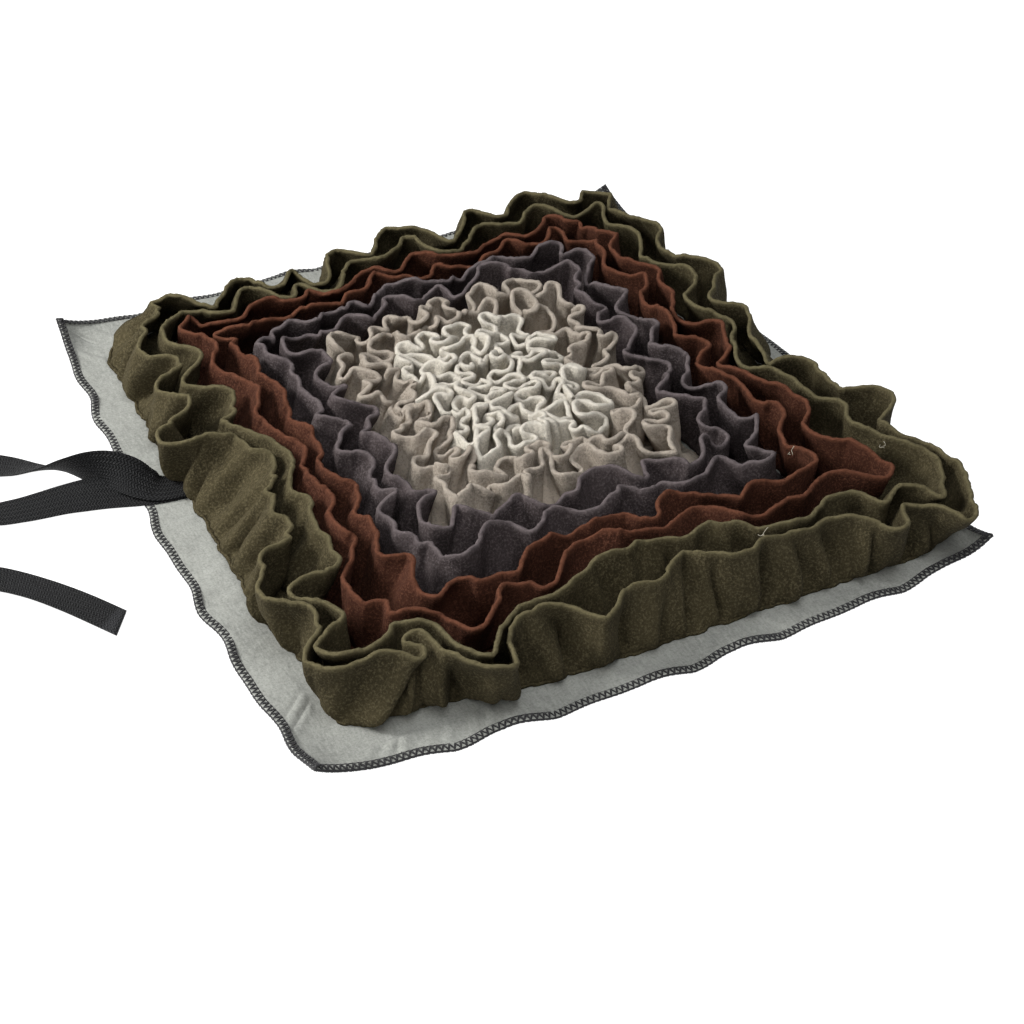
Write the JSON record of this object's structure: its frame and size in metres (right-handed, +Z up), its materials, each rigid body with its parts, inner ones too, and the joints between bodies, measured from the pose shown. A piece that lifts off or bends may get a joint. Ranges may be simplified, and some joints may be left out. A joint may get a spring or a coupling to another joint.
{
  "type": "snuffle mat",
  "caption": "Rectangular snuffle mat with rings of gathered fleece in olive, brown, plum, taupe and cream on a grey felt backing with overlocked edges and black webbing straps.",
  "frame": {"origin": "middle of the backing on the floor, where the underside rests", "axes": "+Z up off the floor, +X along the short front edge to the right, the webbing leaves the -X edge, +Y towards the back edge"},
  "size_m": [0.6667, 0.5192, 0.0496],
  "materials": {
    "felt_grey": "matte",
    "fleece_olive": "matte",
    "fleece_brown": "matte",
    "fleece_plum": "matte",
    "fleece_taupe": "matte",
    "fleece_cream": "matte",
    "webbing_black": "matte"
  },
  "bodies": {
    "root": {"backing": "felt_grey", "ruffle_olive_1": "fleece_olive", "ruffle_olive_2": "fleece_olive", "ruffle_brown_1": "fleece_brown", "ruffle_brown_2": "fleece_brown", "ruffle_plum_1": "fleece_plum", "ruffle_plum_2": "fleece_plum", "ruffle_taupe_1": "fleece_taupe", "ruffle_taupe_2": "fleece_taupe", "ruffle_cream_1": "fleece_cream", "ruffle_cream_2": "fleece_cream", "ruffle_cream_3": "fleece_cream", "strap_lower": "webbing_black", "strap_upper": "webbing_black"}
  },
  "joints": []
}
